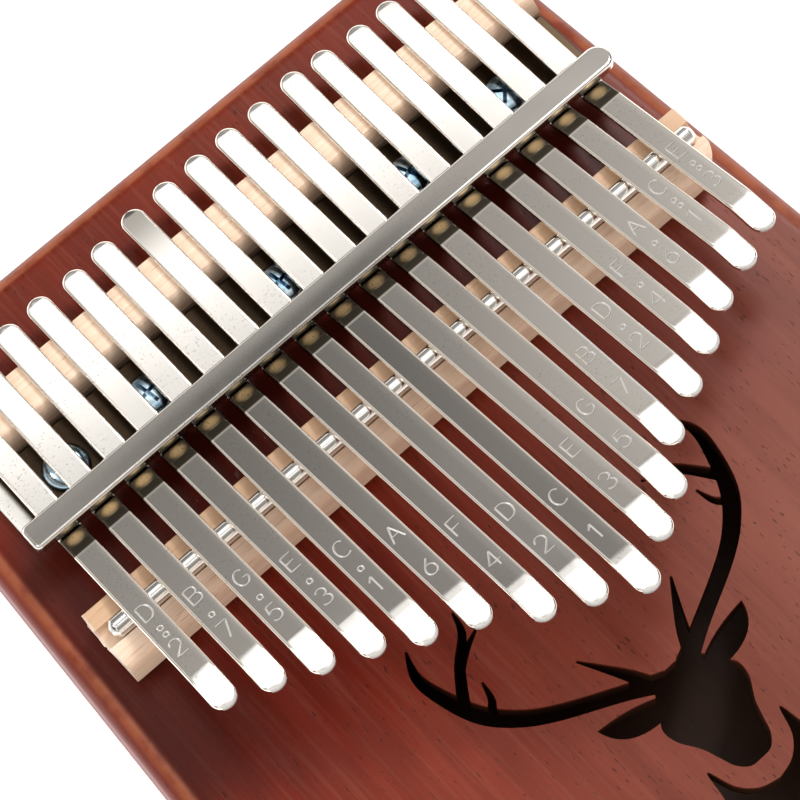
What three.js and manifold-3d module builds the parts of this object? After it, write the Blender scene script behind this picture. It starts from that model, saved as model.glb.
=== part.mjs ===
// A seventeen-note mbira (box kalimba): a hollow mahogany box that carries sprung steel tines.
// Millimetres. X runs along the pressure bar, -Y points to the player, +Z is up.
// The origin is on the resting face of the back, below the middle of the box.
import * as THREE from 'three';
import Module from 'manifold-3d';
import { mergeVertices } from 'three/addons/utils/BufferGeometryUtils.js';

const wasm = await Module();
wasm.setup();

// ---- driving dimensions -------------------------------------------------------------------
const GAP = 0.3; // clearance between pieces that touch
const BOX_HEIGHT = 32;
const BOX_LENGTH = 185;
const REAR_Y = BOX_LENGTH / 2;
const FRONT_Y = -REAR_Y;
const REAR_HALF_WIDTH = 62.8;
const SHOULDER_HALF_WIDTH = 69.8; // where the tapered sides turn in
const SHOULDER_Y = -50;
const NOSE_HALF_WIDTH = 44; // where the flanks meet the front edge
const CORNER_RADII = { rear: 13, shoulder: 60, nose: 42 };
const EDGE_RADIUS = 4.3;
const BOARD = 3.5; // thickness of the soundboard and of the back
const WALL = 8;
const DECK = BOX_HEIGHT; // top face of the soundboard

const NOTES = 17;
const PITCH = 6.7;
const SET_X = 1.53; // the tine set stands a little right of the box's middle
const BAR_REAR_Y = 52;
const TINE_WIDTH = 4.4;
const TINE_THICK = 1;
// how far each tine reaches behind and in front of the bar's rear edge, from left to right
const REACH_BACK = [29.6, 29.7, 29.6, 29.8, 29.5, 30.1, 31.1, 31.3, 31.4, 31.6, 31.5, 32, 31.5, 30.9, 30.9, 30.7, 30.6];
const REACH_FRONT = [44.3, 47.4, 50.5, 53.9, 57.9, 61.6, 67.4, 70.9, 74.8, 70.2, 66.8, 60.3, 56.4, 53, 49.2, 46.6, 43.8];
// how each tine sits after tuning: turned about Z in degrees, and shifted along X
const SKEW_DEG = [-0.3, 0, -0.1, 0.1, -0.3, 0.3, 0.3, 0.3, 0.1, 0.3, -0.2, -1.2, -0.4, -0.7, -0.5, 0.2, 0];
const SHIFT_X = [0, -0.1, 0, -0.1, 0, -0.1, 0.2, 0.2, 0.1, 0.1, -0.1, 0, -0.2, 0.1, -0.2, 0, 0.1];
// side profile of a tine's top face: heights above the deck and places in front of the bar's rear edge
const REAR_TOP = 6.4;
const REAR_FALL = 0.0166; // slope down towards the rear tip
const STEP_START = 4.2;
const CREST = { ahead: 8.36, top: 7.81 };
const FRONT_RISE = 0.24; // slope up towards the player
const TIP_LENGTH = 6.6;
const TIP_RISE = 0.03;

const ROD = { radius: 1.77, ahead: 21.44, height: 7.85, left: -57.6, right: 60.4 };
const BRIDGE = { left: -59.4, right: 61.3, rear: 16.2, front: 27.4, height: 7.7, nose: 2.2 };
const BAR = { left: -57.7, right: 61.1, front: 4.6, depth: 5.2, underside: 6.78, top: 9.3, bevel: 0.5 };
const REST = { halfLength: 58.8, front: 13.4, rear: 23, height: 4.9 };
const PLATE = { halfLength: 58.8, front: 0.3, rear: 13.1, thick: 1.15 };
const SCREW = { behind: 6, headRadius: 3.9, headHeight: 2.1, shankRadius: 1.5, shankLength: 3.9 };
const SCREW_X = [-47, -30.2, -3.2, 23.9, 44.5]; // measured from the middle of the tine set
const BOLT = { ahead: 1.6, radius: 0.8, headRadius: 2, headHeight: 1.6, bite: 1.2 };
const BOLT_GAPS = [4.5, 9.5, 13.5]; // each bolt stands between the two tines on either side

// ---- materials ----------------------------------------------------------------------------
const mahogany = { color: 0x6b2a1c, roughness: 0.35, metalness: 0 };
const paleWood = { color: 0xd9b48a, roughness: 0.6, metalness: 0 };
const nickel = { color: 0xb9b5ae, roughness: 0.2, metalness: 1 };
const blueZinc = { color: 0x7f97a8, roughness: 0.25, metalness: 1 };

// ---- helpers ------------------------------------------------------------------------------
const model = new THREE.Group();

function addMesh(name, geometry, look) {
  const mesh = new THREE.Mesh(geometry, new THREE.MeshStandardMaterial(look));
  mesh.name = name;
  model.add(mesh);
  return mesh;
}

function toSolid(geometry) {
  const bare = geometry.clone();
  bare.deleteAttribute('normal');
  bare.deleteAttribute('uv');
  const merged = mergeVertices(bare, 1e-4);
  const vertProperties = new Float32Array(merged.attributes.position.array);
  const triVerts = new Uint32Array(merged.index.array);
  return new wasm.Manifold(new wasm.Mesh({ numProp: 3, vertProperties, triVerts }));
}

function toGeometry(solid) {
  const mesh = solid.getMesh();
  const geometry = new THREE.BufferGeometry();
  geometry.setAttribute('position', new THREE.BufferAttribute(new Float32Array(mesh.vertProperties), 3));
  geometry.setIndex(new THREE.BufferAttribute(new Uint32Array(mesh.triVerts), 1));
  geometry.computeVertexNormals();
  return geometry;
}

// a flat outline in X and Y, raised from one height to another
function prism(points, low, high) {
  const geometry = new THREE.ExtrudeGeometry(new THREE.Shape(points), { depth: high - low, bevelEnabled: false });
  return geometry.translate(0, 0, low);
}

// a side profile in Y and Z, carried along X
function profileAlongX(points, left, right) {
  const geometry = new THREE.ExtrudeGeometry(new THREE.Shape(points), { depth: right - left, bevelEnabled: false });
  geometry.rotateX(Math.PI / 2).rotateZ(Math.PI / 2);
  return geometry.translate(left, 0, 0);
}

function uprightCylinder(radius, low, high, x, y, sides = 20) {
  const geometry = new THREE.CylinderGeometry(radius, radius, high - low, sides);
  return geometry.rotateX(Math.PI / 2).translate(x, y, (low + high) / 2);
}

function arcPoints(cx, cy, radius, from, to, steps) {
  const points = [];
  for (let i = 0; i <= steps; i += 1) {
    const angle = from + ((to - from) * i) / steps;
    points.push(new THREE.Vector2(cx + radius * Math.cos(angle), cy + radius * Math.sin(angle)));
  }
  return points;
}

// ---- box ----------------------------------------------------------------------------------
const BOX_CORNERS = [
  { x: REAR_HALF_WIDTH, y: REAR_Y, radius: CORNER_RADII.rear },
  { x: -REAR_HALF_WIDTH, y: REAR_Y, radius: CORNER_RADII.rear },
  { x: -SHOULDER_HALF_WIDTH, y: SHOULDER_Y, radius: CORNER_RADII.shoulder },
  { x: -NOSE_HALF_WIDTH, y: FRONT_Y, radius: CORNER_RADII.nose },
  { x: NOSE_HALF_WIDTH, y: FRONT_Y, radius: CORNER_RADII.nose },
  { x: SHOULDER_HALF_WIDTH, y: SHOULDER_Y, radius: CORNER_RADII.shoulder },
];

// the box's plan, moved in by a distance, as a loop with the same number of points each time
function boxOutline(inset) {
  const steps = 7;
  const count = BOX_CORNERS.length;
  const outline = [];
  BOX_CORNERS.forEach((corner, i) => {
    const before = BOX_CORNERS[(i + count - 1) % count];
    const after = BOX_CORNERS[(i + 1) % count];
    const arriving = Math.atan2(corner.y - before.y, corner.x - before.x);
    const turn = THREE.MathUtils.euclideanModulo(
      Math.atan2(after.y - corner.y, after.x - corner.x) - arriving, 2 * Math.PI);
    const toCentre = corner.radius / Math.cos(turn / 2);
    const inward = arriving + turn / 2 + Math.PI / 2;
    const cx = corner.x + toCentre * Math.cos(inward);
    const cy = corner.y + toCentre * Math.sin(inward);
    const start = arriving - Math.PI / 2;
    outline.push(...arcPoints(cx, cy, corner.radius - inset, start, start + turn, steps));
  });
  return outline;
}

// a solid stacked from outlines that share their point count, each at its own height
function stackOutlines(levels) {
  const loops = levels.map(({ inset }) => boxOutline(inset));
  const count = loops[0].length;
  const positions = [];
  loops.forEach((loop, level) => {
    loop.forEach((point) => positions.push(point.x, point.y, levels[level].z));
  });
  const index = [];
  for (let level = 0; level < loops.length - 1; level += 1) {
    for (let i = 0; i < count; i += 1) {
      const a = level * count + i;
      const b = level * count + ((i + 1) % count);
      index.push(a, b, b + count, a, b + count, a + count);
    }
  }
  const top = (loops.length - 1) * count;
  for (const [a, b, c] of THREE.ShapeUtils.triangulateShape(loops[0], [])) {
    index.push(a, c, b);
    index.push(top + a, top + b, top + c);
  }
  const geometry = new THREE.BufferGeometry();
  geometry.setAttribute('position', new THREE.BufferAttribute(new Float32Array(positions), 3));
  geometry.setIndex(index);
  geometry.computeVertexNormals();
  return geometry;
}

// levels that follow the rounded edge, from a height above or below it to the flat face
function roundedLevels(faceZ, outward, limitZ) {
  const steps = 4;
  const centreZ = faceZ - outward * EDGE_RADIUS;
  const limitAngle = Math.asin(THREE.MathUtils.clamp(((limitZ - centreZ) * outward) / EDGE_RADIUS, 0, 1));
  const levels = [];
  for (let i = 0; i <= steps; i += 1) {
    const angle = limitAngle + ((Math.PI / 2 - limitAngle) * i) / steps;
    const inset = EDGE_RADIUS * (1 - Math.cos(angle));
    levels.push({ z: centreZ + outward * EDGE_RADIUS * Math.sin(angle), inset });
  }
  return levels;
}

const BOARD_UNDERSIDE = DECK - BOARD;
const RIM_TOP = BOARD_UNDERSIDE - GAP;
const RIM_BOTTOM = BOARD + GAP;

function insetAt(depthFromFace) {
  const rise = EDGE_RADIUS - depthFromFace;
  return rise <= 0 ? 0 : EDGE_RADIUS - Math.sqrt(EDGE_RADIUS ** 2 - rise ** 2);
}

// ---- sound hole: a plain stag's head, and its neck below a thin strip of wood ---------------
// a tapering limb along a smooth centre line, as a closed outline; each point is x, y and the width there
function limb(points) {
  const curve = new THREE.SplineCurve(points.map(([x, y]) => new THREE.Vector2(x, y)));
  const spans = points.length - 1;
  const steps = spans * 4;
  const left = [];
  const right = [];
  for (let i = 0; i <= steps; i += 1) {
    const t = i / steps;
    const point = curve.getPoint(t);
    const along = curve.getTangent(t);
    const span = Math.min(Math.floor(t * spans), spans - 1);
    const half = THREE.MathUtils.lerp(points[span][2], points[span + 1][2], t * spans - span) / 2;
    left.push(new THREE.Vector2(point.x - along.y * half, point.y + along.x * half));
    right.unshift(new THREE.Vector2(point.x + along.y * half, point.y - along.x * half));
  }
  return [...right, ...left];
}

const ANTLER_LIMBS = [
  [[2, -28.8, 3.4], [7.7, -25.9, 2.6], [17.2, -21.2, 2.6], [22.2, -17.6, 2.8], [25.6, -13.4, 2.9], [27.8, -7.5, 2.4],
    [28.4, -3.2, 1.7], [26.9, 0.8, 0.4]],
  [[26.4, -11.6, 2], [22.6, -6.4, 1.7], [18.9, -2.8, 1.3], [17.8, 0.6, 0.4]],
  [[23.6, -7.6, 1.2], [20.2, -5.2, 1.1], [16.8, -3.7, 0.4]],
  [[24.6, -15.4, 1.6], [22.6, -13.4, 1.2], [21.8, -10.4, 0.4]],
  [[3.6, -28.4, 2.6], [5.4, -24.4, 2], [9.6, -17.6, 0.4]],
];
const EAR = { root: [4.6, -29.7], bend: [9, -27.7], tip: [14.6, -27.4], bendBack: [13.4, -32.8], rootBack: [6, -32.8] };
const SKULL_HALF = [[0, -27.4], [3.2, -27.7], [5, -29.6], [6, -31.6], [7.6, -33.7], [7.3, -36.4], [5.4, -39.6],
  [4.4, -42.4], [3.6, -44.6], [2, -46.2], [0, -46.4]];
const NECK_HALF = [[0, -50.2], [3.2, -49.3], [5.7, -46.8], [7.3, -42.6], [8.3, -47.6], [10.6, -53],
  [15.4, -58.4], [8.4, -62.4], [0, -69.5]];

function mirrored(points) {
  return points.map((point) => new THREE.Vector2(-point.x, point.y)).reverse();
}

// half an outline from the upper middle to the lower middle, smoothed and mirrored
function symmetricOutline(half, stepsPerSpan) {
  const curve = new THREE.SplineCurve(half.map(([x, y]) => new THREE.Vector2(x, y)));
  const right = curve.getPoints((half.length - 1) * stepsPerSpan);
  right[0].x = 0;
  right[right.length - 1].x = 0;
  return [...right, ...mirrored(right).slice(1, -1)].reverse();
}

function earOutline() {
  const upper = new THREE.QuadraticBezierCurve(
    new THREE.Vector2(...EAR.root), new THREE.Vector2(...EAR.bend), new THREE.Vector2(...EAR.tip));
  const lower = new THREE.QuadraticBezierCurve(
    new THREE.Vector2(...EAR.tip), new THREE.Vector2(...EAR.bendBack), new THREE.Vector2(...EAR.rootBack));
  return [...upper.getPoints(6), ...lower.getPoints(6).slice(1)].reverse();
}

function stagCutter() {
  const outlines = [symmetricOutline(SKULL_HALF, 3), symmetricOutline(NECK_HALF, 3)];
  const sideOutlines = [earOutline()];
  for (const points of ANTLER_LIMBS) {
    sideOutlines.push(limb(points));
  }
  for (const outline of sideOutlines) {
    outlines.push(outline, mirrored(outline));
  }
  return outlines
    .map((outline) => toSolid(prism(outline, BOARD_UNDERSIDE - 1, DECK + 1)))
    .reduce((joined, solid) => joined.add(solid));
}

const setX = (offset) => SET_X + offset;
const tineX = (note) => setX(PITCH * (note - (NOTES + 1) / 2));
const boltX = (gap) => tineX(gap);
const aheadY = (distance) => BAR_REAR_Y - distance;
const behindY = (distance) => BAR_REAR_Y + distance;
const screwY = behindY(SCREW.behind);
const boltY = aheadY(BOLT.ahead);

function makeSoundboard() {
  const slab = [{ z: BOARD_UNDERSIDE, inset: insetAt(BOARD) }, ...roundedLevels(DECK, 1, BOARD_UNDERSIDE).slice(1)];
  let board = toSolid(stackOutlines(slab)).subtract(stagCutter());
  for (const x of SCREW_X) {
    board = board.subtract(toSolid(
      uprightCylinder(SCREW.shankRadius + GAP, BOARD_UNDERSIDE - 1, DECK + 1, setX(x), screwY, 12)));
  }
  for (const gap of BOLT_GAPS) {
    board = board.subtract(toSolid(
      uprightCylinder(BOLT.radius + GAP, BOARD_UNDERSIDE - 1, DECK + 1, boltX(gap), boltY, 10)));
  }
  addMesh('soundboard', toGeometry(board), mahogany);
}

function makeRim() {
  const outer = stackOutlines([
    { z: RIM_BOTTOM, inset: insetAt(RIM_BOTTOM) },
    { z: EDGE_RADIUS, inset: 0 },
    { z: DECK - EDGE_RADIUS, inset: 0 },
    { z: RIM_TOP, inset: insetAt(DECK - RIM_TOP) },
  ]);
  const hollow = stackOutlines([{ z: RIM_BOTTOM - 1, inset: WALL }, { z: RIM_TOP + 1, inset: WALL }]);
  addMesh('side_rim', toGeometry(toSolid(outer).subtract(toSolid(hollow))), mahogany);
}

function makeBack() {
  const levels = roundedLevels(0, -1, BOARD).slice(1).reverse();
  addMesh('back_panel', stackOutlines([...levels, { z: BOARD, inset: insetAt(BOARD) }]), mahogany);
}

// ---- fittings that hold the tines -----------------------------------------------------------
function makeRearRest() {
  const outline = [
    new THREE.Vector2(setX(-REST.halfLength), behindY(REST.front)),
    new THREE.Vector2(setX(REST.halfLength), behindY(REST.front)),
    new THREE.Vector2(setX(REST.halfLength), behindY(REST.rear)),
    new THREE.Vector2(setX(-REST.halfLength), behindY(REST.rear)),
  ];
  addMesh('rear_rest', prism(outline, DECK + GAP, DECK + REST.height), paleWood);
}

function makeBasePlate() {
  const outline = [
    new THREE.Vector2(setX(-PLATE.halfLength), behindY(PLATE.front)),
    new THREE.Vector2(setX(PLATE.halfLength), behindY(PLATE.front)),
    new THREE.Vector2(setX(PLATE.halfLength), behindY(PLATE.rear)),
    new THREE.Vector2(setX(-PLATE.halfLength), behindY(PLATE.rear)),
  ];
  let plate = toSolid(prism(outline, DECK + GAP, DECK + GAP + PLATE.thick));
  for (const x of SCREW_X) {
    plate = plate.subtract(toSolid(uprightCylinder(SCREW.shankRadius + GAP, DECK, DECK + 3, setX(x), screwY, 12)));
  }
  addMesh('base_plate', toGeometry(plate), nickel);
}

// a domed head on a plain shank, turned about its own axis
function makeScrews() {
  const seat = DECK + GAP + PLATE.thick + GAP;
  const profile = [
    new THREE.Vector2(0, seat - SCREW.shankLength),
    new THREE.Vector2(SCREW.shankRadius, seat - SCREW.shankLength),
    new THREE.Vector2(SCREW.shankRadius, seat),
    new THREE.Vector2(SCREW.headRadius, seat),
    new THREE.Vector2(SCREW.headRadius * 0.95, seat + SCREW.headHeight * 0.55),
    new THREE.Vector2(SCREW.headRadius * 0.7, seat + SCREW.headHeight * 0.9),
    new THREE.Vector2(0, seat + SCREW.headHeight),
  ];
  SCREW_X.forEach((x, i) => {
    const geometry = new THREE.LatheGeometry(profile, 20);
    addMesh(`base_screw_${i + 1}`, geometry.rotateX(Math.PI / 2).translate(setX(x), screwY, 0), blueZinc);
  });
}

function makeFrontBridge() {
  const low = DECK + GAP;
  const high = DECK + BRIDGE.height;
  const front = aheadY(BRIDGE.front);
  const rear = aheadY(BRIDGE.rear);
  const nose = arcPoints(front + BRIDGE.nose, high - BRIDGE.nose, BRIDGE.nose, Math.PI, Math.PI / 2, 4);
  const outline = [new THREE.Vector2(front, low), ...nose, new THREE.Vector2(rear, high), new THREE.Vector2(rear, low)];
  const block = toSolid(profileAlongX(outline.reverse(), BRIDGE.left, BRIDGE.right));
  const groove = toSolid(profileAlongX(
    arcPoints(aheadY(ROD.ahead), DECK + ROD.height, ROD.radius + GAP, 0, 2 * Math.PI, 18).slice(0, -1),
    BRIDGE.left - 1, BRIDGE.right + 1));
  addMesh('front_bridge', toGeometry(block.subtract(groove)), paleWood);
}

function makeRod() {
  const bevel = 0.5;
  const profile = [
    new THREE.Vector2(0, ROD.left),
    new THREE.Vector2(ROD.radius - bevel, ROD.left),
    new THREE.Vector2(ROD.radius, ROD.left + bevel),
    new THREE.Vector2(ROD.radius, ROD.right - bevel),
    new THREE.Vector2(ROD.radius - bevel, ROD.right),
    new THREE.Vector2(0, ROD.right),
  ];
  const geometry = new THREE.LatheGeometry(profile, 24).rotateZ(-Math.PI / 2);
  addMesh('bridge_rod', geometry.translate(0, aheadY(ROD.ahead), DECK + ROD.height), nickel);
}

function makePressureBar() {
  const half = BAR.depth / 2;
  const low = DECK + BAR.underside;
  const high = DECK + BAR.top;
  const midY = aheadY(BAR.front) + half;
  const outline = [
    ...arcPoints(BAR.right - half, midY, half, -Math.PI / 2, Math.PI / 2, 10),
    ...arcPoints(BAR.left + half, midY, half, Math.PI / 2, (3 * Math.PI) / 2, 10),
  ];
  const section = [
    new THREE.Vector2(midY - half, low),
    new THREE.Vector2(midY + half, low),
    new THREE.Vector2(midY + half, high - BAR.bevel),
    new THREE.Vector2(midY + half - BAR.bevel, high),
    new THREE.Vector2(midY - half + BAR.bevel, high),
    new THREE.Vector2(midY - half, high - BAR.bevel),
  ];
  let bar = toSolid(prism(outline, low, high));
  bar = bar.intersect(toSolid(profileAlongX(section, BAR.left - 1, BAR.right + 1)));
  for (const gap of BOLT_GAPS) {
    const socket = uprightCylinder(BOLT.radius + GAP, low - 1, low + BOLT.bite + GAP, boltX(gap), boltY, 10);
    bar = bar.subtract(toSolid(socket));
  }
  addMesh('pressure_bar', toGeometry(bar), nickel);
}

function makeBarBolts() {
  const seat = BOARD_UNDERSIDE - GAP;
  const tip = DECK + BAR.underside + BOLT.bite;
  const profile = [
    new THREE.Vector2(0, seat - BOLT.headHeight),
    new THREE.Vector2(BOLT.headRadius, seat - BOLT.headHeight),
    new THREE.Vector2(BOLT.headRadius, seat),
    new THREE.Vector2(BOLT.radius, seat),
    new THREE.Vector2(BOLT.radius, tip),
    new THREE.Vector2(0, tip),
  ];
  BOLT_GAPS.forEach((gap, i) => {
    const geometry = new THREE.LatheGeometry(profile, 14);
    addMesh(`bar_bolt_${i + 1}`, geometry.rotateX(Math.PI / 2).translate(boltX(gap), boltY, 0), blueZinc);
  });
}

// ---- tines ----------------------------------------------------------------------------------
// height of a tine's top face above the deck, at a distance ahead of the bar's rear edge
function tineTop(ahead, tipAhead) {
  if (ahead <= STEP_START) return REAR_TOP + REAR_FALL * ahead;
  const stepTop = REAR_TOP + REAR_FALL * STEP_START;
  if (ahead <= CREST.ahead) {
    return stepTop + ((CREST.top - stepTop) * (ahead - STEP_START)) / (CREST.ahead - STEP_START);
  }
  const bend = tipAhead - TIP_LENGTH;
  const straight = Math.min(ahead, bend) - CREST.ahead;
  return CREST.top + FRONT_RISE * straight + TIP_RISE * Math.max(ahead - bend, 0);
}

// the strip between two places, its ends rounded in plan where they are free
function tineStrip(note, fromAhead, toAhead, roundRear, roundFront) {
  const tipAhead = REACH_FRONT[note - 1];
  const stations = [fromAhead, STEP_START, CREST.ahead, tipAhead - TIP_LENGTH, toAhead]
    .filter((ahead) => ahead >= fromAhead && ahead <= toAhead);
  const upper = stations.map((ahead) => new THREE.Vector2(-ahead, DECK + tineTop(ahead, tipAhead)));
  const lower = upper.map((point) => new THREE.Vector2(point.x, point.y - TINE_THICK)).reverse();
  const strip = toSolid(profileAlongX([...upper, ...lower], -TINE_WIDTH / 2, TINE_WIDTH / 2));
  const half = TINE_WIDTH / 2;
  const plan = [];
  if (roundFront) plan.push(...arcPoints(0, -toAhead + half, half, -Math.PI, 0, 10));
  else plan.push(new THREE.Vector2(-half, -toAhead), new THREE.Vector2(half, -toAhead));
  if (roundRear) plan.push(...arcPoints(0, -fromAhead - half, half, 0, Math.PI, 10));
  else plan.push(new THREE.Vector2(half, -fromAhead), new THREE.Vector2(-half, -fromAhead));
  const cutter = toSolid(prism(plan, DECK, DECK + 60));
  return toGeometry(strip.intersect(cutter));
}

function makeTines() {
  for (let note = 1; note <= NOTES; note += 1) {
    const label = String(note).padStart(2, '0');
    const tail = addMesh(`tine_${label}_tail`,
      tineStrip(note, -REACH_BACK[note - 1], ROD.ahead - GAP / 2, true, false), nickel);
    const tongue = addMesh(`tine_${label}_tongue`,
      tineStrip(note, ROD.ahead + GAP / 2, REACH_FRONT[note - 1], false, true), nickel);
    for (const mesh of [tail, tongue]) {
      mesh.position.set(tineX(note) + SHIFT_X[note - 1], BAR_REAR_Y, 0);
      mesh.rotation.z = THREE.MathUtils.degToRad(SKEW_DEG[note - 1]);
    }
  }
}

makeSoundboard();
makeRim();
makeBack();
makeRearRest();
makeBasePlate();
makeScrews();
makeFrontBridge();
makeRod();
makePressureBar();
makeBarBolts();
makeTines();

export default model;
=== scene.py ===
"""A seventeen-note mbira in Blender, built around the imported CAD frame. Sizes are in millimetres and become metres in
make_mesh()."""
import math
import random

import bmesh
import bpy
from mathutils import Matrix, Vector


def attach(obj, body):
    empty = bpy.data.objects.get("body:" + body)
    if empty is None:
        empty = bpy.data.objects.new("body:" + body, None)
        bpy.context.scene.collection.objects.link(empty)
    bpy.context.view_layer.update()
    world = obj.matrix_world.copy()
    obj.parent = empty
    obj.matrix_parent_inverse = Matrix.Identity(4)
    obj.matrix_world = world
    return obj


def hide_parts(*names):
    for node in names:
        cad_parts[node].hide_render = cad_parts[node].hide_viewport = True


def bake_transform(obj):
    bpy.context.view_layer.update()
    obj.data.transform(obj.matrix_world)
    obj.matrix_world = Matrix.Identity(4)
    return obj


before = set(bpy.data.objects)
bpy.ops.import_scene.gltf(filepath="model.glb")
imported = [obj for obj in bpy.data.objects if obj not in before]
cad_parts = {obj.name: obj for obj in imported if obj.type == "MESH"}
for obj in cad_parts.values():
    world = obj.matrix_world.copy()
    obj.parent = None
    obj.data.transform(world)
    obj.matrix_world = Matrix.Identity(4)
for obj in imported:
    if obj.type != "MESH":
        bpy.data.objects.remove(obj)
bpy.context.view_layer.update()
MM = 0.001
random.seed(17)

# ---- camera -------------------------------------------------------------------------------------------------------
CAMERA_AT = (-80.5, -109.1, 417.9)
CAMERA_AZIMUTH, CAMERA_ELEVATION, CAMERA_ROLL = -29.61, 67.28, -13.19
LENS, SENSOR = 122.55, 36.0


def make_camera():
    data = bpy.data.cameras.new("camera")
    data.lens, data.sensor_width = LENS, SENSOR
    data.clip_start, data.clip_end = 0.01, 50
    camera = bpy.data.objects.new("camera", data)
    bpy.context.scene.collection.objects.link(camera)
    azimuth, elevation = math.radians(CAMERA_AZIMUTH), math.radians(CAMERA_ELEVATION)
    back = Vector((math.sin(azimuth) * math.cos(elevation), -math.cos(azimuth) * math.cos(elevation),
                   math.sin(elevation)))
    right = Vector((0, 0, 1)).cross(back).normalized()
    turned = Matrix.Rotation(math.radians(CAMERA_ROLL), 3, back) @ right
    up = back.cross(turned)
    camera.matrix_world = Matrix.Translation(Vector(CAMERA_AT) * MM) @ Matrix((turned, up, back)).transposed().to_4x4()
    bpy.context.scene.camera = camera


make_camera()

# ---- sizes, as in the CAD part, with shoulders a hair narrower ------------------------------------------------------
GAP = 0.3  # clearance between pieces that touch
DECK, BOX_LENGTH, BOARD, WALL, EDGE_RADIUS = 32.0, 185.0, 3.5, 8.0, 4.3
REAR_Y = BOX_LENGTH / 2
BOX_CORNERS = [(62.8, REAR_Y, 13), (-62.8, REAR_Y, 13), (-69.74, -50, 60), (-44, -REAR_Y, 42), (44, -REAR_Y, 42),
               (69.74, -50, 60)]
PITCH, SET_X, BAR_REAR_Y = 6.7, 1.53, 52.0
TINE_WIDTH, TIP_LENGTH = 4.4, 6.6
REACH_BACK = [29.6, 29.7, 29.6, 29.8, 29.5, 30.1, 31.1, 31.3, 31.4, 31.6, 31.5, 32, 31.5, 30.9, 30.9, 30.7, 30.6]
REACH_FRONT = [44.3, 47.4, 50.5, 53.9, 57.9, 61.6, 67.4, 70.9, 74.8, 70.2, 66.8, 60.3, 56.4, 53, 49.2, 46.6, 43.8]
SKEW_DEG = [-0.3, 0, -0.1, 0.1, -0.3, 0.3, 0.3, 0.3, 0.1, 0.3, -0.2, -1.2, -0.4, -0.7, -0.5, 0.2, 0]
SHIFT_X = [0, -0.1, 0, -0.1, 0, -0.1, 0.2, 0.2, 0.1, 0.1, -0.1, 0, -0.2, 0.1, -0.2, 0, 0.1]
MARKS = ["D:2", "B.7", "G.5", "E.3", "C.1", "A 6", "F 4", "D 2", "C 1", "E 3", "G 5", "B 7", "D.2", "F.4", "A.6",
         "C:1", "E:3"]
REAR_TOP, REAR_FALL, STEP_START = 6.4, 0.0166, 4.2
CREST_AHEAD, CREST_TOP, FRONT_RISE, TIP_RISE = 8.36, 7.81, 0.24, 0.03
ROD_RADIUS, ROD_AHEAD, ROD_HEIGHT, ROD_ENDS = 1.77, 21.44, 7.85, (-57.6, 60.4)
BRIDGE_ENDS, BRIDGE_REAR, BRIDGE_FRONT, BRIDGE_HEIGHT, BRIDGE_NOSE = (-59.4, 61.3), 16.2, 27.4, 7.7, 2.2
BAR_ENDS, BAR_FRONT, BAR_DEPTH, BAR_UNDERSIDE, BAR_TOP = (-57.7, 61.1), 4.6, 5.2, 6.78, 9.3
REST_HALF, REST_FRONT, REST_REAR, REST_HEIGHT = 58.8, 13.4, 23.0, 4.9
PLATE_HALF, PLATE_FRONT, PLATE_REAR, PLATE_THICK = 58.8, 0.3, 13.1, 1.15
SCREW_X, SCREW_BEHIND, SCREW_RADIUS, SCREW_HEIGHT = [-47, -30.2, -3.2, 23.9, 44.5], 6.0, 3.9, 2.1
SCREW_SHANK, SCREW_SHANK_LENGTH, SCREW_RIM = 1.5, 3.9, 0.2


# ---- mesh helpers -------------------------------------------------------------------------------------------------
NUDGE, NUDGE_WAY, CUT_TRIES = 0.011, (0.6, -0.8, 1.0), 5  # how a cutter moves between tries


def make_mesh(name, points, faces):
    mesh = bpy.data.meshes.new(name)
    mesh.from_pydata([Vector(p) * MM for p in points], [], faces)
    bm = bmesh.new()
    bm.from_mesh(mesh)
    bmesh.ops.recalc_face_normals(bm, faces=bm.faces)
    bm.to_mesh(mesh)
    bm.free()
    piece = bpy.data.objects.new(name, mesh)
    bpy.context.scene.collection.objects.link(piece)
    return piece


def shade(piece, angle=32):
    """Smooth, with sharp edges where faces meet at more than an angle, and with flat faces kept flat."""
    for polygon in piece.data.polygons:
        polygon.use_smooth = True
    piece.data.set_sharp_from_angle(angle=math.radians(angle))
    modifier = piece.modifiers.new("flat faces", "WEIGHTED_NORMAL")
    modifier.keep_sharp, modifier.weight = True, 100
    bake_modifiers(piece)


def bake_modifiers(piece):
    depsgraph = bpy.context.evaluated_depsgraph_get()
    mesh = bpy.data.meshes.new_from_object(piece.evaluated_get(depsgraph))
    piece.modifiers.clear()
    piece.data = mesh


def measure(mesh):
    """The volume, and the count of edges that don't join exactly two faces."""
    bm = bmesh.new()
    bm.from_mesh(mesh)
    result = bm.calc_volume(), sum(len(edge.link_faces) != 2 for edge in bm.edges)
    bm.free()
    return result


def cut(piece, cutter, operation="DIFFERENCE", least=0.2, most=3.0):
    """A boolean that has to leave between least and most times the volume. Where faces that coincide spoil it, the
    cutter is moved by a hair and the cut made again, and the try with the fewest open edges is kept."""
    whole = piece.data
    before, open_before = measure(whole)
    tries = []
    for attempt in range(CUT_TRIES):
        cutter.location = Vector(NUDGE_WAY) * attempt * NUDGE * MM
        modifier = piece.modifiers.new("cut", "BOOLEAN")
        modifier.operation, modifier.solver, modifier.object = operation, "EXACT", cutter
        bake_modifiers(piece)
        after, open_after = measure(piece.data)
        if least * before < after < most * before:
            tries.append((open_after, attempt, piece.data))
            if open_after <= open_before:
                break
        piece.data = whole
    if tries:
        piece.data = min(tries, key=lambda one: one[:2])[2]
    bpy.data.objects.remove(cutter)


def dress(piece, material, body, slot_name, *nodes):
    """Gives a piece its material and its body (none for the tines), and hides its CAD nodes. The slot name is not used.
    """
    piece.data.materials.clear()
    piece.data.materials.append(material)
    if body:
        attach(piece, body)
    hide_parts(*nodes)


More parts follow.
